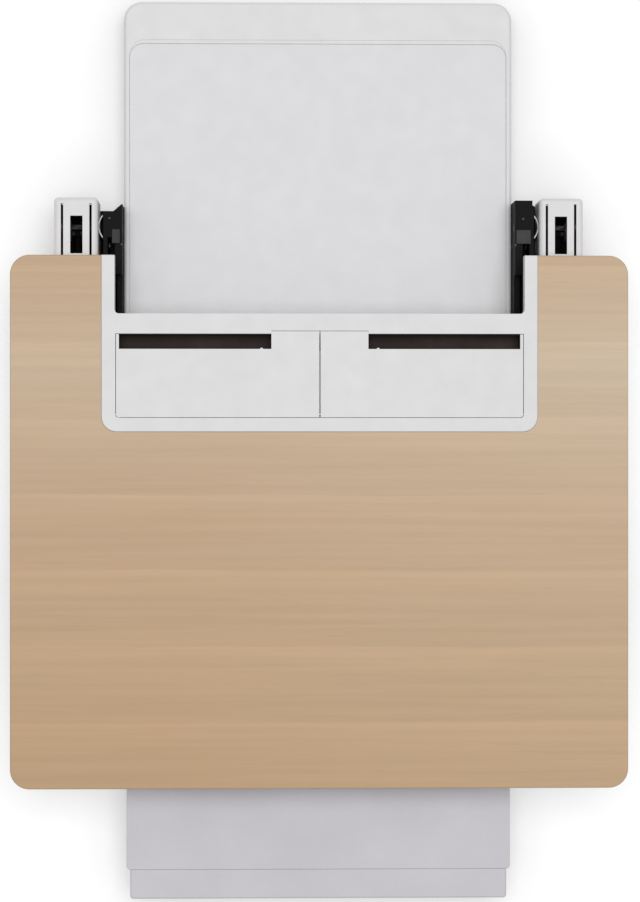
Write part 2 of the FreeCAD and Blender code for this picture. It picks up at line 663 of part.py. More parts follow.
def make_bezel():
    """The white frame of the notch, with the crossbar behind the lids."""
    outer = slab("bezel_outer", "bezel_half_width", "bezel_front", "board_rear",
                 "bezel_bottom", "bezel_top", "bezel_corner", front_only=True)
    soft = rounded_top("bezel_soft", outer, dim("bezel_top"), dim("board_edge"))
    bottom, above = "bezel_bottom - over", "bezel_top + over"
    tools = [
        slab("bezel_rear_gap", "rear_gap_half", "crossbar_rear", "board_rear + 8 * over",
             bottom, above, "rear_gap_corner", front_only=True),
        slab("bezel_window", "bezel_inner", "bin_front", "crossbar_front",
             bottom, above, "lid_corner + lid_front_gap", front_only=True),
        block("bezel_tab_room", 0, "-(slot_inner)", "slot_inner", "crossbar_front - over",
              "crossbar_middle", lid_top() + " - lid_thick - lid_below", above),
    ]
    for label, side in SIDES.items():
        tools.append(rod("bezel_rod_seat_" + label, side, "bezel_inner - over",
                         "lid_rod_half + 2", "lid_hinge_y", hinge_z(), "lid_rod"))
    sub_part(cut("bezel", soft, tools), "platform_bezel")


def make_bin():
    """The storage tub under the lids: two compartments."""
    front, rear = "bin_front + bin_gap", "slot_front - bin_rear_gap"
    half = "bezel_inner - bin_gap"
    shell = slab("bin_shell", half, front, rear, "bin_floor", "bin_top", "bin_corner")
    rooms = []
    for label, side in SIDES.items():
        rooms.append(block("bin_room_" + label, side, "bin_divider", half + " - bin_wall",
                           front + " + bin_wall", rear + " - bin_wall",
                           "bin_floor + bin_wall", "bin_top + over"))
    sub_part(cut("bin", shell, rooms), "storage_bin")


def make_slot_liner(label, side):
    """The dark trough that a phone or tablet stands in."""
    solid = block("liner_solid_" + label, side, "slot_inner - liner_wall",
                  "slot_outer + liner_wall", "slot_front - liner_wall",
                  "crossbar_front - 0.1", "liner_bottom", "liner_top")
    room = block("liner_room_" + label, side, "slot_inner", "slot_outer", "slot_front",
                 "crossbar_front - liner_wall + 0.1", "liner_bottom + liner_floor",
                 "liner_top + over")
    sub_part(cut("liner_" + label, solid, [room]), "slot_liner_" + label)


def make_lid(label, side):
    """A bin lid: a tab at the middle and a leg at the side reach past the device slot."""
    bottom = lid_top() + " - lid_thick"
    side_edge = "bezel_inner - lid_side_gap"
    panel = block("lid_panel_" + label, side, "lid_gap", side_edge,
                  "bin_front + lid_front_gap", "slot_front", bottom, lid_top())
    middle_x = dim("bezel_inner") / 2
    middle_y = (dim("bin_front") + dim("slot_front")) / 2
    panel = rounded("lid_corner_" + label, panel, dim("lid_corner"), lambda a, b:
                    is_upright(a, b) and a.y < middle_y and abs(a.x) > middle_x)
    inside = "slot_front - lid_tab_depth"
    pip = block("lid_pip_" + label, side, "slot_inner + pip_offset",
                "slot_inner + pip_offset + pip_width", "slot_front - pip_reach",
                "slot_front + pip_reach", bottom, lid_top())
    tab = block("lid_tab_" + label, side, "lid_gap", "slot_inner", inside,
                "crossbar_middle - lid_front_gap", bottom, lid_top())
    leg = block("lid_leg_" + label, side, "slot_outer", side_edge, inside,
                "crossbar_front - lid_front_gap", bottom, lid_top())
    bore = rod("lid_bore_" + label, side, "0", "lid_rod_half", "lid_hinge_y", hinge_z(),
               "lid_rod + running_gap")
    solid = fused("lid_solid_" + label, [panel, tab, leg, pip])
    sub_part(cut("lid_drilled_" + label, solid, [bore]), "bin_lid_" + label)


def make_lid_rod():
    hinge = rod("lid_rod_bar", 0, "-(lid_rod_half)", "lid_rod_half", "lid_hinge_y",
                hinge_z(), "lid_rod")
    sub_part(hinge, "lid_hinge_rod")


def screw_spots(side):
    """Where the screws hold a platform bracket to the board."""
    return [(on_side(x, side), "screw_y") for x in ("screw_inner_x", "screw_outer_x")]


def make_platform_bracket(label, side):
    """The folded steel bracket under the board that straddles the arm's front end."""
    inner_face = "mount_inner + mount_thick"
    outer_face = "arm_outer + mount_clear + mount_thick"
    parts = [
        block("mount_flange_" + label, side, "mount_inner", outer_face, "flange_front",
              "flange_rear", "board_bottom - flange_thick", "board_bottom"),
        block("mount_in_" + label, side, "mount_inner", inner_face, "mount_front",
              "mount_rear", "mount_inner_bottom", "board_bottom"),
        block("mount_out_" + label, side, "arm_outer + mount_clear", outer_face,
              "mount_outer_front", "mount_rear", "mount_outer_bottom", "board_bottom"),
    ]
    bores = [
        rod("mount_bore_" + label, side, "mount_inner - over", outer_face + " + over",
            front_y(), "hub_z", "axle_radius"),
        rod("mount_link_bore_" + label, side, "mount_inner - over", inner_face + " + over",
            front_y() + " + link_back", "hub_z + link_drop", "pin_radius"),
        rod("mount_lever_bore_" + label, side, "arm_outer", outer_face + " + over",
            "lever_y", "lever_z", "lever_shaft"),
    ]
    for number, (x, y) in enumerate(screw_spots(side)):
        bores.append(post("mount_screw_bore_%s_%d" % (label, number), x, y,
                          "board_bottom - over", "board_bottom + over", "bolt_hole"))
    sub_part(cut("mount_" + label, fused("mount_solid_" + label, parts), bores),
             "platform_bracket_" + label)


def make_platform_screws():
    screws = []
    for label, side in SIDES.items():
        for number, (x, y) in enumerate(screw_spots(side)):
            name = "platform_screw_%s_%d" % (label, number)
            under = "board_bottom - flange_thick"
            head = post(name + "_head", x, y, under + " - screw_head_thick", under,
                        "screw_head")
            shank = post(name + "_shank", x, y, under + " - 1", "board_bottom",
                         "bolt_radius")
            screws.append(fused(name, [head, shank]))
    sub_part(grouped("platform_screw_set", screws), "platform_screws")


def make_front_axle(label, side):
    """The pivot between the arm's front end and the platform bracket."""
    face = "arm_outer + mount_clear + mount_thick"
    shaft = rod("front_axle_bar_" + label, side, "mount_inner", face + " + axle_tail",
                front_y(), "hub_z", "axle_radius")
    head = rod("front_axle_head_" + label, side, face, face + " + axle_head_thick",
               front_y(), "hub_z", "axle_head")
    sub_part(fused("front_axle_solid_" + label, [shaft, head]), "front_axle_" + label)


def make_link_front_pins():
    pins = []
    for label, side in SIDES.items():
        y, z = front_y() + " + link_back", "hub_z + link_drop"
        shank = rod("front_pin_shank_" + label, side, "pin_head_inner + 1",
                    "mount_inner + mount_thick", y, z, "pin_radius")
        head = rod("front_pin_head_" + label, side, "pin_head_inner", "pin_head_outer", y, z,
                   "pin_head_radius")
        pins.append(fused("front_pin_" + label, [shank, head]))
    sub_part(grouped("front_pins", pins), "link_front_pins")


def make_cross_beam():
    """The steel channel under the board that joins the two platform brackets."""
    beam = block("beam", 0, "-(beam_half)", "beam_half", "beam_front", "beam_rear",
                 "board_bottom - beam_depth", "board_bottom")
    room = block("beam_room", 0, "-(beam_half + over)", "beam_half + over",
                 "beam_front + beam_wall", "beam_rear - beam_wall",
                 "board_bottom - beam_depth + beam_wall", "board_bottom + over")
    sub_part(cut("beam_channel", beam, [room]), "platform_cross_beam")


def shoe_span():
    """X of the inner and outer faces of the lever's arm and its brake shoe."""
    return "arm_outer + shoe_gap", "arm_outer + shoe_gap + shoe_thick"


def make_release_lever(label, side):
    """A squeeze lever under the board's edge; lifting its paddle frees the brake shoe."""
    inner, outer = "lever_inner", "lever_outer"
    parts = [
        block("lever_paddle_" + label, side, inner, outer, "lever_front",
              "lever_y + 2 * lever_half", "lever_z - lever_half", "lever_z + lever_half"),
        rod("lever_tip_" + label, side, inner, outer, "lever_front", "lever_z", "lever_tip"),
        rod("lever_shaft_" + label, side, shoe_span()[0], outer, "lever_y", "lever_z",
            "lever_shaft - running_gap"),
        rod("lever_hub_" + label, side, inner, outer, "lever_y", "lever_z", "lever_hub"),
        block("lever_arm_" + label, side, *shoe_span(), "lever_y - lever_arm_half",
              "lever_y + lever_arm_half", "hub_z - lever_arm_drop",
              "lever_z + lever_arm_half"),
    ]
    sub_part(fused("lever_" + label, parts), "release_lever_" + label)


def make_brake_shoe(label, side):
    """The friction lining on the lever, hollowed to the brake disc's radius."""
    start = "lever_y + lever_arm_half"
    lining = block("shoe_block_" + label, side, *shoe_span(), start, start + " + shoe_length",
                   "hub_z - shoe_half", "hub_z + shoe_half")
    hollow = rod("shoe_hollow_" + label, side, "arm_outer", "arm_outer + 2 * over", front_y(),
                 "hub_z", "disc_radius + disc_room")
    sub_part(cut("shoe_" + label, lining, [hollow]), "brake_shoe_" + label)


# ---- keyboard tray ----

def make_tray_plate():
    outer = slab("tray_outer", "tray_half_width", "tray_front", "tray_rear",
                 "tray_top - tray_thick", "tray_top", "tray_corner")
    soft = rounded_top("tray_soft", outer, dim("tray_top"), dim("tray_edge"))
    half = "tray_half_width - tray_wall"
    hollow = block("tray_hollow", 0, "-(%s)" % half, half, "tray_front + tray_wall",
                   "tray_rear - tray_wall", "tray_top - tray_thick - over",
                   "tray_top - tray_wall")
    sub_part(cut("tray", soft, [hollow]), "keyboard_tray")


def make_tray_lip():
    """The lower step along the tray's front edge, with a tongue under the tray."""
    bottom = "tray_top - lip_drop - lip_thick"
    lip = slab("lip_solid", "lip_half_width", "lip_front", "tray_front - lip_gap", bottom,
               "tray_top - lip_drop", "lip_corner", front_only=True)
    top = dim("tray_top") - dim("lip_drop")
    middle_y = (dim("lip_front") + dim("tray_front")) / 2
    soft = rounded("lip_soft", lip, dim("lip_edge"),
                   lambda a, b: at_height(a, b, top) and min(a.y, b.y) < middle_y)
    half = "lip_half_width - tongue_inset"
    tongue = block("lip_tongue", 0, "-(%s)" % half, half, "tongue_front", "tongue_rear",
                   bottom, "tray_top - tray_thick")
    sub_part(fused("lip", [soft, tongue]), "tray_front_lip")


def c_profile(name, side, inner, outer, front, rear, bottom, top, wall):
    """A C-shaped rail along Y, open towards the centre plane."""
    solid = block(name + "_solid", side, inner, outer, front, rear, bottom, top)
    room = block(name + "_room", side, inner + " - over", "%s - %s" % (outer, wall),
                 front + " - over", rear + " + over", "%s + %s" % (bottom, wall),
                 "%s - %s" % (top, wall))
    return cut(name, solid, [room])


def make_slides(label, side):
    """A three-part drawer slide: outer on the board, middle, and inner on the tray."""
    outer = c_profile("slide_out_" + label, side, "slide_inner", "slide_outer",
                      "slide_front", "slide_rear", "slide_bottom", "board_bottom",
                      "slide_wall")
    sub_part(outer, "slide_outer_" + label)
    step = "slide_wall + middle_gap"
    middle = c_profile("slide_mid_" + label, side, "middle_inner", "middle_outer",
                       "middle_front", "middle_rear", "slide_bottom + " + step,
                       "board_bottom - (%s)" % step, "middle_wall")
    sub_part(middle, "slide_middle_" + label)
    inset = step + " + middle_wall + runner_gap"
    top = "board_bottom - (%s)" % inset
    runner = block("runner_" + label, side, "runner_inner", "runner_outer", "runner_front",
                   "tray_rear", "slide_bottom + " + inset, top)
    drop = block("runner_drop_" + label, side, "runner_drop_inner", "runner_drop_outer",
                 "runner_front", "tray_rear", "tray_top", top)
    sub_part(fused("slide_in_" + label, [runner, drop]), "slide_inner_" + label)


# ---- the whole part ----

def make_all():
    for make in (make_feet, make_base_plate, make_base_cover, make_inset_panel,
                 make_bracket_screws, make_link_rear_pins, make_board, make_bezel, make_bin,
                 make_lid_rod, make_platform_screws, make_link_front_pins, make_cross_beam,
                 make_tray_plate, make_tray_lip):
        make()
    for label, side in SIDES.items():
        for make in (make_side_rail, make_pivot_bracket, make_hub_axle, make_arm_casing,
                     make_arm_channel, make_arm_bushes, make_gas_cylinder, make_gas_rod,
                     make_link, make_brake_disc, make_stop_pad, make_slot_liner, make_lid,
                     make_platform_bracket, make_front_axle, make_release_lever,
                     make_brake_shoe, make_slides):
            make(label, side)


def check_and_write():
    doc.recompute()
    for item in doc.Objects:
        if "Invalid" in item.State or "Error" in item.State:
            raise RuntimeError("%s did not build: %s" % (item.Name, item.State))
    os.makedirs("parts", exist_ok=True)
    for item in SUB_PARTS:
        shape = item.Shape
        if shape.isNull() or not shape.isValid() or not shape.Solids:
            raise RuntimeError("%s has no valid solid" % item.Label)
        shape.exportStep("parts/%s.step" % item.Label)
        print("%-28s %2d solids %12.0f mm3" % (item.Label, len(shape.Solids), shape.Volume))
    print(len(SUB_PARTS), "nodes")


make_all()
check_and_write()
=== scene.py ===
import json
import math

import bmesh
import bpy
from mathutils import Matrix, Vector


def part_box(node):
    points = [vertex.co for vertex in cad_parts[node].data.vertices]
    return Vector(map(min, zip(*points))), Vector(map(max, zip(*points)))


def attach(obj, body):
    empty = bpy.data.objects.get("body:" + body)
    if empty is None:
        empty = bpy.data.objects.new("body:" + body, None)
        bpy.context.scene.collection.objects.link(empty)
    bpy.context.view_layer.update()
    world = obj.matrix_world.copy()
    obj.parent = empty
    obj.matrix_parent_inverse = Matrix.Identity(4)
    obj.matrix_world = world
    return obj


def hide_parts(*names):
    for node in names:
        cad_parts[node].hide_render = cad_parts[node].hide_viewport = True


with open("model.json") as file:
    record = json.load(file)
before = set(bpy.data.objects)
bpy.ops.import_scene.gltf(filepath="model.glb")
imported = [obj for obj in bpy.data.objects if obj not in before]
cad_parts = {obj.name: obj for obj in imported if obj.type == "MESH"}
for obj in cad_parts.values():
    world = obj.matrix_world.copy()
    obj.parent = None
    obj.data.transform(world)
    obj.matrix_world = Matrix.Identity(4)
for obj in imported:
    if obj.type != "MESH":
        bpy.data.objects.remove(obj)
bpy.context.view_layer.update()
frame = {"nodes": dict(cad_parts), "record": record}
MM = 0.001

# ---- camera, light and floor ----

PLATFORM_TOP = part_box("platform_board")[1].z
CAMERA_HEIGHT = 3.2
FRAME_HEIGHT_AT_TOP = 1.0203      # metres of the platform's plane from the picture's top to bottom
SENSOR_MM = 36.0
CAMERA_X, CAMERA_Y = -0.080, -0.003   # a little off the object's middle
AIM_X, AIM_Y = 0.0001, -0.0026   # the point of the platform's plane in the picture's middle

SKY_COLOUR, SKY_STRENGTH = (0.98, 0.985, 1.0), 0.36
SUN_COLOUR, SUN_STRENGTH = (1.0, 0.995, 0.99), 2.42
SUN_SPREAD = math.radians(44)
SUN_TILT = (math.radians(-8), math.radians(2), 0)   # leans to the rear

FLOOR_SIZE = 30
FLOOR_GLOW = 0.48
PAINTED_SHADE_REACH = 0.10
# Painted shade on the floor: its tone by how open it is to the sky, 0 is covered, 1 is fully open.
PAINTED_SHADE_TONES = ((0.45, 0.80), (0.74, 0.86), (0.90, 0.95), (0.97, 1.0))


def make_camera():
    """Down on the platform from a little to its left, with +Y up in the picture."""
    data = bpy.data.cameras.new("camera")
    data.sensor_fit = "VERTICAL"
    data.sensor_height = SENSOR_MM
    data.lens = SENSOR_MM * CAMERA_HEIGHT / FRAME_HEIGHT_AT_TOP
    data.clip_end = 20.0
    camera = bpy.data.objects.new("camera", data)
    camera.location = (CAMERA_X, CAMERA_Y, PLATFORM_TOP + CAMERA_HEIGHT)
    camera.rotation_euler.x = -math.atan2(CAMERA_Y - AIM_Y, CAMERA_HEIGHT)
    camera.rotation_euler.y = -math.atan2(AIM_X - CAMERA_X, CAMERA_HEIGHT)
    bpy.context.scene.collection.objects.link(camera)
    bpy.context.scene.camera = camera


def make_lights():
    """A wide soft light from straight above, and an even white surround."""
    scene = bpy.context.scene
    scene.view_settings.view_transform = "Standard"
    world = bpy.data.worlds.new("studio")
    scene.world = world
    world.use_nodes = True
    background = world.node_tree.nodes["Background"]
    background.inputs["Color"].default_value = (*SKY_COLOUR, 1)
    background.inputs["Strength"].default_value = SKY_STRENGTH
    data = bpy.data.lights.new("overhead", "SUN")
    data.energy = SUN_STRENGTH
    data.angle = SUN_SPREAD
    data.color = SUN_COLOUR
    overhead = bpy.data.objects.new("overhead", data)
    overhead.rotation_euler = SUN_TILT
    scene.collection.objects.link(overhead)


# ---- node helpers ----

class Graph:
    """Short names for the node links that every material here uses."""

    def __init__(self, name, roughness, metallic=0.0, specular=0.4):
        self.material = bpy.data.materials.new(name)
        self.material.use_nodes = True
        self.nodes = self.material.node_tree.nodes
        self.links = self.material.node_tree.links
        self.shader = self.nodes["Principled BSDF"]
        self.shader.inputs["Roughness"].default_value = roughness
        self.shader.inputs["Metallic"].default_value = metallic
        self.shader.inputs["Specular IOR Level"].default_value = specular
        coordinates = self.nodes.new("ShaderNodeTexCoord")
        self.place = coordinates.outputs["Object"]
        self.generated = coordinates.outputs["Generated"]
        self.normal = coordinates.outputs["Normal"]

    def link(self, source, target):
        self.links.new(source, target)

    def scaled(self, scale, offset=(0, 0, 0)):
        mapping = self.nodes.new("ShaderNodeMapping")
        mapping.inputs["Scale"].default_value = scale
        mapping.inputs["Location"].default_value = offset
        self.link(self.place, mapping.inputs["Vector"])
        return mapping.outputs["Vector"]

    def noise(self, scale, detail=4.0, stretch=(1, 1, 1), offset=(0, 0, 0), roughness=0.5):
        node = self.nodes.new("ShaderNodeTexNoise")
        node.inputs["Scale"].default_value = scale
        node.inputs["Detail"].default_value = detail
        node.inputs["Roughness"].default_value = roughness
        self.link(self.scaled(stretch, offset), node.inputs["Vector"])
        return node.outputs["Fac"]

    def ramp(self, value, stops):
        node = self.nodes.new("ShaderNodeValToRGB")
        elements = node.color_ramp.elements
        while len(elements) < len(stops):
            elements.new(0.5)
        for element, (position, colour) in zip(elements, stops):
            element.position = position
            element.color = (*colour, 1)
        self.link(value, node.inputs["Fac"])
        return node.outputs["Color"]

    def span(self, value, low, high, new_low=0.0, new_high=1.0):
        node = self.nodes.new("ShaderNodeMapRange")
        node.inputs["From Min"].default_value = low
        node.inputs["From Max"].default_value = high
        node.inputs["To Min"].default_value = new_low
        node.inputs["To Max"].default_value = new_high
        self.link(value, node.inputs["Value"])
        return node.outputs["Result"]

    def maths(self, operation, first, second):
        node = self.nodes.new("ShaderNodeMath")
        node.operation = operation
        for socket, value in zip(node.inputs, (first, second)):
            if isinstance(value, (int, float)):
                socket.default_value = value
            else:
                self.link(value, socket)
        return node.outputs["Value"]

    def mix(self, factor, first, second, blend="MIX"):
        node = self.nodes.new("ShaderNodeMix")
        node.data_type = "RGBA"
        node.blend_type = blend
        for socket, value in ((node.inputs["Factor"], factor), (node.inputs[6], first),
                              (node.inputs[7], second)):
            if isinstance(value, (int, float)):
                socket.default_value = value
            elif isinstance(value, tuple):
                socket.default_value = (*value, 1)
            else:
                self.link(value, socket)
        return node.outputs[2]

    def tinted(self, colour, factor):
        node = self.nodes.new("ShaderNodeVectorMath")
        node.operation = "SCALE"
        self.link(colour, node.inputs[0])
        self.link(factor, node.inputs["Scale"])
        return node.outputs["Vector"]

    def colour(self, value):
        self.link(value, self.shader.inputs["Base Color"])

    def rough(self, value):
        self.link(value, self.shader.inputs["Roughness"])

    def bump(self, value, depth, strength=1.0):
        node = self.nodes.new("ShaderNodeBump")
        node.inputs["Distance"].default_value = depth
        node.inputs["Strength"].default_value = strength
        self.link(value, node.inputs["Height"])
        self.link(node.outputs["Normal"], self.shader.inputs["Normal"])


def srgb(red, green, blue):
    """A linear colour from 0-255 display values."""
    def linear(value):
        value /= 255
        return value / 12.92 if value <= 0.04045 else ((value + 0.055) / 1.055) ** 2.4
    return tuple(linear(v) for v in (red, green, blue))


# ---- materials ----

# The board's laminate is printed as strips along X. Each is palest at its rear edge.
WOOD_DEEP = srgb(169, 138, 101)
WOOD_MIDDLE = srgb(174, 145, 112)
WOOD_PALE = srgb(181, 158, 130)
STRIP_SHARE = 1 / 7       # one strip's share of the board's depth
FIRST_STRIP_END = -0.02   # where a strip ends at the front edge, as a share of the depth


def wood_laminate():
    """Light ash: straight tonal bands across Y, fine grain and short pores along X."""
    g = Graph("wood_laminate", roughness=0.42, specular=0.35)
    spread = g.nodes.new("ShaderNodeSeparateXYZ")
    g.link(g.generated, spread.inputs["Vector"])
    slow = g.noise(1.0, detail=2.0, stretch=(2.2, 9, 1))
    wobble = g.noise(1.0, detail=3.0, stretch=(9, 55, 5), offset=(2, 0, 0))
    along = g.maths("ADD", spread.outputs["Y"], g.span(slow, 0.0, 1.0, -0.007, 0.007))
    along = g.maths("ADD", along, g.span(wobble, 0.0, 1.0, -0.004, 0.004))
    base = g.ramp(along, [(0.0, WOOD_DEEP), (0.5, WOOD_MIDDLE), (0.8, WOOD_PALE),
                          (1.0, WOOD_MIDDLE)])
    strip = g.maths("DIVIDE", g.maths("SUBTRACT", along, FIRST_STRIP_END), STRIP_SHARE)
    rise = g.maths("POWER", g.maths("FRACT", strip, 0.0), 3.0)
    pale = g.mix(1.0, base, (1.055, 1.10, 1.17), "MULTIPLY")
    base = g.mix(g.span(spread.outputs["X"], 0.25, 1.0), base, pale)

    grain = g.noise(1.0, detail=8.0, stretch=(8, 520, 60), roughness=0.62)
    streaks = g.noise(1.0, detail=4.0, stretch=(3.0, 130, 10), offset=(3, 0, 0))
    pores = g.noise(1.0, detail=2.0, stretch=(26, 1100, 60), offset=(0, 5, 0))
    shade = g.maths("MULTIPLY", g.span(grain, 0.30, 0.70, 0.965, 1.035),
                    g.span(streaks, 0.30, 0.70, 0.955, 1.045))
    shade = g.maths("MULTIPLY", shade, g.span(pores, 0.62, 0.78, 1.0, 0.90))
    shade = g.maths("MULTIPLY", shade, g.span(rise, 0.0, 1.0, 0.98, 1.05))
    facing = g.nodes.new("ShaderNodeSeparateXYZ")
    g.link(g.normal, facing.inputs["Vector"])
    speckle = g.noise(300.0, detail=3.0)
    backing = g.mix(speckle, srgb(196, 195, 190), srgb(208, 207, 203))
    under = g.span(facing.outputs["Z"], -0.6, -0.5, 1.0, 0.0)
    g.colour(g.mix(under, g.tinted(base, shade), backing))
    g.rough(g.span(grain, 0.3, 0.7, 0.38, 0.48))
    g.bump(grain, 0.0001, 0.5)
    return g.material


def moulded_plastic(name, colour, roughness, grain_scale=1500.0, depth=0.00005):
    """Fine spark-eroded texture, faint cloudiness and uneven sheen."""
    g = Graph(name, roughness=roughness)
    cloud = g.noise(6.0, detail=3.0)
    grain = g.noise(grain_scale, detail=2.0)
    dark = tuple(c * 0.992 for c in colour)
    light = tuple(min(1.0, c * 1.008) for c in colour)
    g.colour(g.mix(cloud, dark, light))
    g.rough(g.span(g.noise(45.0, detail=4.0), 0.3, 0.7, roughness - 0.06, roughness + 0.06))
    g.bump(grain, depth, 0.5)
    return g.material


def powder_coat(name, colour, roughness, specular=0.5):
    """Orange-peel bump over a thin paint film."""
    g = Graph(name, roughness=roughness, specular=specular)
    peel = g.noise(700.0, detail=3.0)
    cloud = g.noise(12.0, detail=3.0)
    dark = tuple(c * 0.9 for c in colour)
    light = tuple(min(1.0, c * 1.1) for c in colour)
    g.colour(g.mix(cloud, dark, light))
    g.rough(g.span(peel, 0.3, 0.7, roughness - 0.07, roughness + 0.07))
    g.bump(peel, 0.00012, 0.5)
    return g.material


def brushed_metal(name, colour, roughness):
    g = Graph(name, roughness=roughness, metallic=1.0)
    lines = g.noise(1.0, detail=5.0, stretch=(2500, 60, 2500))
    dark = tuple(c * 0.8 for c in colour)
    g.colour(g.mix(lines, dark, colour))
    g.rough(g.span(lines, 0.3, 0.7, roughness - 0.08, roughness + 0.1))
    g.bump(lines, 0.00003, 0.5)
    return g.material


def rubber(name, colour, roughness=0.8):
    g = Graph(name, roughness=roughness, specular=0.25)
    fine = g.noise(900.0, detail=3.0)
    dust = g.noise(25.0, detail=5.0)
    light = tuple(min(1.0, c * 1.6 + 0.01) for c in colour)
    g.colour(g.mix(g.span(dust, 0.45, 0.75, 0.0, 0.5), colour, light))
    g.rough(g.span(fine, 0.3, 0.7, roughness - 0.08, roughness + 0.08))
    g.bump(fine, 0.00008, 0.6)
    return g.material


def make_floor():
    """A pale floor that glows faintly, with painted shade that darkens it softly where it meets
    the object.
    """
    bpy.ops.mesh.primitive_plane_add(size=FLOOR_SIZE)
    floor = bpy.context.object
    floor.name = "floor"
    g = Graph("studio_floor", roughness=0.9, specular=0.05)
    # Painted shade: ambient occlusion darkens the floor's colour and its glow near the object.
    painted_shade = g.nodes.new("ShaderNodeAmbientOcclusion")
    painted_shade.samples = 8
    painted_shade.inputs["Distance"].default_value = PAINTED_SHADE_REACH
    shaded_tone = g.ramp(painted_shade.outputs["AO"], [(level, (grey,) * 3) for level, grey in PAINTED_SHADE_TONES])
    paper = g.mix(g.noise(40.0, detail=3.0), (0.495, 0.495, 0.495), (0.51, 0.51, 0.51))
    g.colour(g.mix(1.0, shaded_tone, paper, "MULTIPLY"))
    g.link(shaded_tone, g.shader.inputs["Emission Color"])
    g.shader.inputs["Emission Strength"].default_value = FLOOR_GLOW
    floor.data.materials.append(g.material)


MATERIALS = {
    "wood": wood_laminate(),
    "white_plastic": moulded_plastic("white_plastic", srgb(205, 204, 205), 0.5),
    "panel_white": moulded_plastic("panel_white", srgb(205, 204, 206), 0.55),
    "black_metal": powder_coat("black_coat", srgb(9, 9, 10), 0.6, specular=0.09),
    "steel": brushed_metal("brushed_steel", (0.55, 0.55, 0.56), 0.32),
    "bronze": brushed_metal("bronze", (0.17, 0.12, 0.07), 0.45),
    "grey_paint": powder_coat("grey_coat", srgb(181, 178, 184), 0.5),
    "dark_liner": rubber("dark_liner", srgb(42, 34, 31)),
    "rubber": rubber("foot_rubber", srgb(40, 40, 41)),
    "grey_rubber": rubber("pad_rubber", srgb(56, 56, 58)),
    "dark_steel": powder_coat("dark_steel", srgb(52, 52, 54), 0.4, specular=0.3),
}

# The steel inside the arms, which shows only through their slots, is blackened.
INNER_BLACK = powder_coat("inner_black", srgb(10, 10, 10), 0.7, specular=0.05)
BLACKENED = ("arm_channel_left", "arm_channel_right", "gas_spring_rod_left",
             "gas_spring_rod_right", "gas_spring_cylinder_left", "gas_spring_cylinder_right")

# Bevel width in mm for the edges that the part keeps sharp.
BEVELS = {
    "pivot_bracket": 0.6, "arm_casing": 0.35, "bin_lid": 0.25, "storage_bin": 0.5,
    "platform_bezel": 0.25, "base_inset_panel": 0.3, "tray_front_lip": 0.3,
    "keyboard_tray": 0.3, "platform_bracket": 0.6, "platform_cross_beam": 0.5,
    "release_lever": 0.8, "brake_disc": 0.5, "brake_shoe": 0.4, "slide_outer": 0.3,
    "slide_inner": 0.3, "slide_middle": 0.2, "parallel_link": 0.6, "base_plate": 0.4,
    "slot_liner": 0.2, "hub_axle": 0.4, "gas_spring_cylinder": 0.8,
}


def soften(node, width):
    """Rounds a node's sharp edges with modifiers, which leave its own vertices alone."""
    weld = node.modifiers.new("weld", "WELD")
    weld.merge_threshold = 1e-6
    bevel = node.modifiers.new("bevel", "BEVEL")
    bevel.width = width * MM
    bevel.segments = 2
    bevel.limit_method = "ANGLE"
    bevel.angle_limit = math.radians(50)
    bevel.harden_normals = True
    bevel.use_clamp_overlap = True


def dress_nodes():
    slots = {part["node"]: part["material_slot"] for part in frame["record"]["subparts"]}
    for name, node in frame["nodes"].items():
        material = INNER_BLACK if name in BLACKENED else MATERIALS[slots[name]]
        for slot in node.material_slots:
            slot.material = material
        for start, width in BEVELS.items():
            if name.startswith(start):
                soften(node, width)


# ---- detail pieces: all sizes and places in mm ----

AXES = {"x": Vector((1, 0, 0)), "-x": Vector((-1, 0, 0)), "z": Vector((0, 0, 1)),
        "-z": Vector((0, 0, -1))}
SIDES = {"left": -1, "right": 1}


def add_piece(name, mesh_data, body, slot, material=None):
    """Adds a mesh as a named piece that rides on a body, finished with the given material or else
    the slot's.
    """
    mesh = bpy.data.meshes.new(name)
    mesh_data.to_mesh(mesh)
    mesh_data.free()
    for face in mesh.polygons:
        face.use_smooth = True
    mesh.set_sharp_from_angle(angle=math.radians(35))
    piece = bpy.data.objects.new(name, mesh)
    bpy.context.scene.collection.objects.link(piece)
    mesh.materials.append(material or MATERIALS[slot])
    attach(piece, body)
    return piece


def turned(mesh, profile, origin, axis, steps=48):
    """Revolves (radius, height) points round an axis through origin, all in mm.
    A radius given as ("hex", size) follows a hexagon of that size across its corners."""
    turn = AXES[axis].to_track_quat("Z", "Y").to_matrix()
    centre = Vector(origin)
    rings = []
    for radius, height in profile:
        ring = []
        for step in range(steps):
            angle = 2 * math.pi * step / steps
            reach = radius
            if isinstance(radius, tuple):
                off_flat = (angle + math.pi / 6) % (math.pi / 3) - math.pi / 6
                reach = radius[1] * math.cos(math.pi / 6) / math.cos(off_flat)
            point = Vector((reach * math.cos(angle), reach * math.sin(angle), height))
            ring.append(mesh.verts.new((centre + turn @ point) * MM))
        rings.append(ring)
    for lower, upper in zip(rings, rings[1:]):
        for n in range(steps):
            m = (n + 1) % steps
            mesh.faces.new((lower[n], lower[m], upper[m], upper[n]))
    return rings


def capped(mesh, rings):
    """Closes the two ends of a turned form and points its faces outwards."""
    mesh.faces.new(rings[0])
    mesh.faces.new(rings[-1])
    bmesh.ops.recalc_face_normals(mesh, faces=mesh.faces)


def socket_screw(mesh, origin, axis, head, height, shank, length):
    """A button head with a hexagon socket, seated at origin and pointing along axis."""
    key = ("hex", head * 0.5)
    key_rim = ("hex", head * 0.54)
    rings = turned(mesh, [
        (shank, -length), (shank, -0.2), (head, 0.0), (head, height * 0.4),
        (head * 0.94, height * 0.7), (head * 0.76, height * 0.94), (head * 0.6, height),
        (key_rim, height), (key, height * 0.9), (key, height * 0.35),
    ], origin, axis, steps=36)
    capped(mesh, rings)


def outward(side):
    return "x" if side > 0 else "-x"


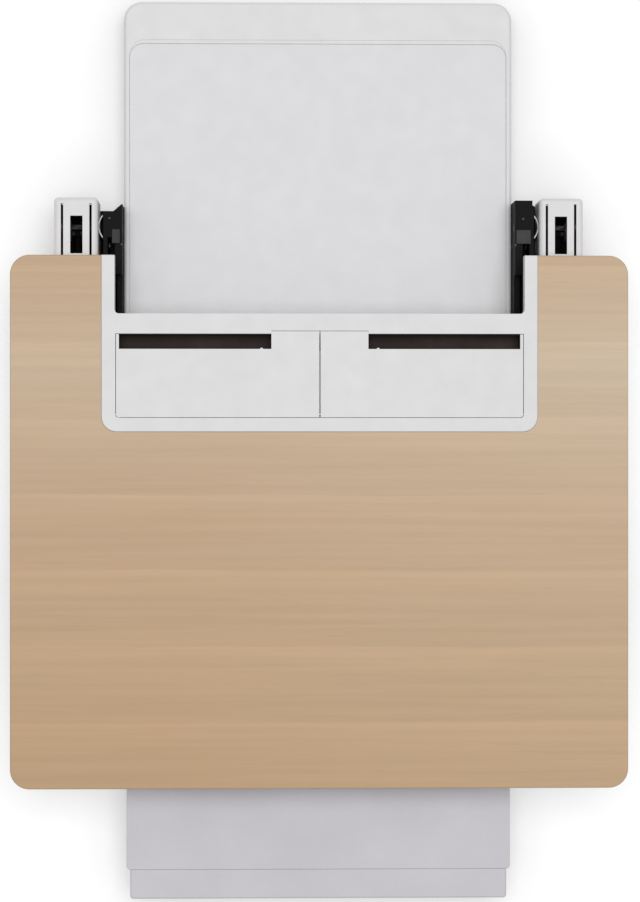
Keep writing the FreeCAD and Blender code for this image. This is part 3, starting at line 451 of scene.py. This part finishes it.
def make_bracket_screws():
    """Screws through the brackets into the base, and small ones in their top edges."""
    plate_x, screw_z = 232, 22
    mesh = bmesh.new()
    for side in SIDES.values():
        for y in (140, 165, 190):
            socket_screw(mesh, (side * plate_x, y, screw_z), outward(side), head=4.5,
                         height=2.0, shank=2.5, length=18)
    screws = add_piece("bracket_socket_screws", mesh, "base", "steel", MATERIALS["black_metal"])
    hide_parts("bracket_screws")
    bracket_top = 80
    mesh = bmesh.new()
    for x, y in ((-240.0, 264), (-226.0, 234), (234.8, 264), (226.0, 234)):
        socket_screw(mesh, (x, y, bracket_top), "z", head=1.5, height=0.9, shank=1.0, length=4)
    add_piece("bracket_cover_screws", mesh, "base", "steel", MATERIALS["dark_steel"])


def make_platform_screws():
    """Screws up through the platform brackets' flanges."""
    screw_y, flange_bottom = -95, 103
    mesh = bmesh.new()
    for side in SIDES.values():
        for x in (262, 300):
            socket_screw(mesh, (side * x, screw_y, flange_bottom), "-z", head=5.0, height=2.2,
                         shank=2.5, length=3)
    screws = add_piece("flange_socket_screws", mesh, "platform", "steel")
    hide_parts("platform_screws")


def make_axle_heads():
    """Front axles with a domed head and a hexagon socket."""
    axle_y, axle_z = -145, 62
    for label, side in SIDES.items():
        mesh = bmesh.new()
        key = ("hex", 4.2)
        rings = turned(mesh, [
            (5.2, 242.5), (6.0, 243.3), (6.0, 315.8), (9.6, 316.0), (10.0, 316.5),
            (10.0, 317.6), (9.0, 318.5), (7.0, 319.0), (("hex", 4.5), 319.0), (key, 318.7),
            (key, 316.6),
        ], (0, axle_y, axle_z), outward(side))
        capped(mesh, rings)
        axle = add_piece("front_axle_bolt_" + label, mesh, "platform", "steel")
        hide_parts("front_axle_" + label)


def make_feet():
    """Rubber pads with a turned groove pattern on their soles."""
    foot_x = 190
    mesh = bmesh.new()
    for side in SIDES.values():
        for y in (-149, 168.85, 486.7):
            rings = turned(mesh, [
                (13.0, 3.0), (13.0, 0.9), (12.6, 0.3), (12.0, 0.0), (9.6, 0.0), (9.4, 0.6),
                (8.4, 0.6), (8.2, 0.0), (6.0, 0.0), (5.8, 0.6), (4.8, 0.6), (4.6, 0.0),
                (2.4, 0.0), (2.2, 0.6),
            ], (side * foot_x, y, 0), "z")
            capped(mesh, rings)
    feet = add_piece("foot_pads", mesh, "base", "rubber")
    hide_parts("rubber_feet")


def make_base_screws():
    """Pan-head screws that hold the base plate up into the cover."""
    screw_x, plate_bottom = 205, 3
    mesh = bmesh.new()
    for side in SIDES.values():
        for y in (-120, 60, 280, 440):
            socket_screw(mesh, (side * screw_x, y, plate_bottom), "-z", head=3.4, height=1.6,
                         shank=1.8, length=4)
    add_piece("base_plate_screws", mesh, "base", "steel")


def make_spring_caps():
    """The black seal cap where each gas spring's rod leaves its cylinder."""
    spring_x, spring_z, steps = 277.65, 51, 36
    quarter = Matrix.Rotation(math.radians(-90), 3, "X")
    for label, side in SIDES.items():
        mesh = bmesh.new()
        rings = turned(mesh, [
            (4.15, 221.5), (8.4, 221.5), (8.4, 224.5), (7.6, 226.2), (5.4, 226.8),
            (4.15, 226.8),
        ], (0, 0, 0), "z", steps)
        for n in range(steps):
            m = (n + 1) % steps
            mesh.faces.new((rings[-1][n], rings[-1][m], rings[0][m], rings[0][n]))
        for vert in mesh.verts:
            vert.co = quarter @ vert.co + Vector((side * spring_x, 0, spring_z)) * MM
        bmesh.ops.recalc_face_normals(mesh, faces=mesh.faces)
        add_piece("gas_spring_cap_" + label, mesh, "arm_" + label, "rubber", INNER_BLACK)


def make_link_clips():
    """Spring clips on the outer ends of the links' rear pins."""
    pin_y, pin_z = 235, 38
    near_x, far_x, inner, outer = 247.1, 247.9, 4.05, 6.4
    first, sweep, steps = 30, 300, 30   # the clip is open over the other 60 degrees
    angles = [math.radians(first + sweep * n / steps) for n in range(steps + 1)]
    for label, side in SIDES.items():
        mesh = bmesh.new()
        faces = []
        for x in (near_x, far_x):
            rows = [[mesh.verts.new(Vector((side * x, pin_y + r * math.cos(a),
                                            pin_z + r * math.sin(a))) * MM)
                     for a in angles] for r in (inner, outer)]
            faces.append(rows)
        (low_in, low_out), (high_in, high_out) = faces
        for n in range(steps):
            for a, b in ((low_in, low_out), (low_out, high_out), (high_out, high_in),
                         (high_in, low_in)):
                mesh.faces.new((a[n], a[n + 1], b[n + 1], b[n]))
        for n in (0, steps):
            mesh.faces.new((low_in[n], low_out[n], high_out[n], high_in[n]))
        bmesh.ops.recalc_face_normals(mesh, faces=mesh.faces)
        add_piece("link_clip_" + label, mesh, "base", "steel")


def swept(mesh, path, radius, sides=12):
    """A round wire along a path of points, both in mm, with closed ends."""
    rings = []
    points = [Vector(p) for p in path]
    for n, point in enumerate(points):
        ahead = points[min(n + 1, len(points) - 1)] - points[max(n - 1, 0)]
        turn = ahead.to_track_quat("Z", "Y").to_matrix()
        rings.append([mesh.verts.new((point + turn @ Vector(
            (radius * math.cos(a), radius * math.sin(a), 0))) * MM)
            for a in (2 * math.pi * k / sides for k in range(sides))])
    for lower, upper in zip(rings, rings[1:]):
        offset = min(range(sides), key=lambda k: (upper[k].co - lower[0].co).length)
        for k in range(sides):
            m = (k + 1) % sides
            mesh.faces.new((lower[k], lower[m], upper[(m + offset) % sides],
                            upper[(k + offset) % sides]))
        upper[:] = upper[offset:] + upper[:offset]
    capped(mesh, rings)


def make_lever_springs():
    """Torsion springs round the levers' shafts: one leg on the flange, one on the lever."""
    start_x, coil_length, coil_radius, wire_radius = 317.0, 4.0, 5.1, 0.45
    shaft_y, shaft_z = -190, 88
    turns, steps = 4, 24
    leg_y = shaft_y + coil_radius
    for label, side in SIDES.items():
        mesh = bmesh.new()
        path = [(side * start_x, leg_y, 102.2), (side * start_x, leg_y, 96)]
        for n in range(turns * steps + 1):
            angle = 2 * math.pi * n / steps
            x = start_x + coil_length * n / (turns * steps)
            path.append((side * x, shaft_y + coil_radius * math.cos(angle),
                         shaft_z - coil_radius * math.sin(angle)))
        path.append((side * (start_x + coil_length), leg_y, 93))
        swept(mesh, path, wire_radius)
        add_piece("lever_spring_" + label, mesh, "platform", "steel")


def make_lever_grips():
    """Ribbed rubber sleeves over the levers' paddles."""
    centre_x, centre_z = 333, 88
    front_y, length = -294.0, 56.0
    rib_height, slices_per_rib = 0.35, 5
    bend, corners, count = 2.0, 6, 60
    for label, side in SIDES.items():
        mesh = bmesh.new()
        rings = []
        for n in range(count + 1):
            y = front_y + length * n / count
            rib = rib_height * (1 - math.cos(2 * math.pi * n / slices_per_rib)) / 2
            end = min(1.0, min(n, count - n) / 4 + 0.5)   # narrows the sleeve's last slices
            half_x, half_z = 11.6 + rib * end, 3.5 + (rib + 0.5) * end
            ring = []
            for quarter, (sx, sz) in enumerate(((1, 1), (-1, 1), (-1, -1), (1, -1))):
                for k in range(corners + 1):
                    angle = math.pi / 2 * (quarter + k / corners)
                    x = centre_x * side + sx * (half_x - bend) + bend * math.cos(angle)
                    z = centre_z + sz * (half_z - bend) + bend * math.sin(angle)
                    ring.append(mesh.verts.new(Vector((x, y, z)) * MM))
            rings.append(ring)
        size = len(rings[0])
        for lower, upper in zip(rings, rings[1:]):
            for k in range(size):
                m = (k + 1) % size
                mesh.faces.new((lower[k], lower[m], upper[m], upper[k]))
        capped(mesh, rings)
        add_piece("lever_grip_" + label, mesh, "lever_" + label, "rubber")


make_camera()
make_lights()
make_floor()
dress_nodes()
make_bracket_screws()
make_platform_screws()
make_axle_heads()
make_feet()
make_base_screws()
make_spring_caps()
make_link_clips()
make_lever_springs()
make_lever_grips()
